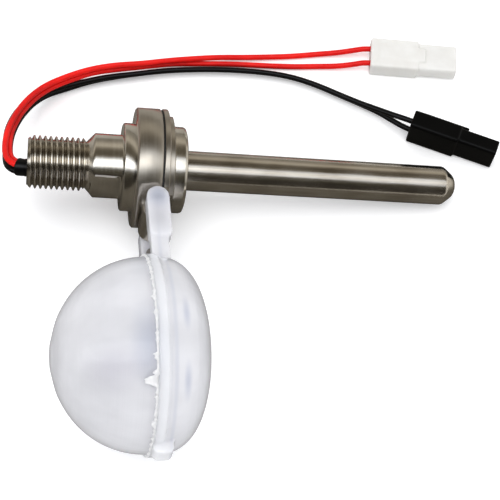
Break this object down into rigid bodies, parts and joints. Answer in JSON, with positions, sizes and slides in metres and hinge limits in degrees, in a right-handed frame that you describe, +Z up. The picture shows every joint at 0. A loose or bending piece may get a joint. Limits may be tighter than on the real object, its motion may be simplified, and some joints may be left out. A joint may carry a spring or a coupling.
{
  "type": "float level switch",
  "caption": "Side-mounted float level switch with a hinged hollow float, a stainless probe tube, a threaded end and two leads with connectors.",
  "frame": {"origin": "centre of the bounding box of the switch without its leads and connectors, on the table it lies on", "axes": "+X points from the threaded end towards the probe's tip, as seen from above; the float lies towards -Y; +Z up from the table. The probe's axis dips towards its tip by 7.8 degrees, because the switch rests on its hub disc, the nose end of its tube and the rim of its float."},
  "size_m": [0.1286, 0.1227, 0.0463],
  "materials": {
    "stainless": "turned and brushed stainless steel",
    "pin_steel": "ground stainless steel",
    "seal_rubber": "black nitrile rubber",
    "polypropylene": "natural translucent polypropylene",
    "magnet": "nickel-plated magnet",
    "resin": "black potting resin",
    "reed_glass": "clear glass envelope",
    "thermistor_bead": "epoxy-coated bead",
    "sleeve_pvc": "black PVC sleeve",
    "red_pvc": "red PVC insulation",
    "black_pvc": "black PVC insulation",
    "white_nylon": "natural white nylon",
    "black_nylon": "black nylon",
    "tin": "tin-plated brass"
  },
  "bodies": {
    "sensor": {"threaded_body": "stainless", "seal_ring": "seal_rubber", "probe_hub": "stainless", "probe_tube": "stainless", "exit_sleeve": "sleeve_pvc", "hinge_pin": "pin_steel", "reed_switch": "reed_glass", "bore_resin": "resin", "thermistor": "thermistor_bead", "tip_resin": "resin", "inner_leads": "black_pvc", "white_connector": "white_nylon", "white_terminals": "tin", "black_connector": "black_nylon", "black_terminals": "tin", "red_lead_outer": "red_pvc", "red_lead_inner": "red_pvc", "black_lead_outer": "black_pvc", "black_lead_inner": "black_pvc"},
    "float": {"float_dome": "polypropylene", "float_cap": "polypropylene", "upper_magnet": "magnet", "lower_magnet": "magnet"}
  },
  "joints": [
    {"name": "float_hinge", "type": "hinge", "parent": "sensor", "child": "float", "pos_m": [-0.02317, 0.01602, 0.01749], "axis": [0.1349, 0.1477, 0.9798], "range_deg": [-60, 84]}
  ]
}
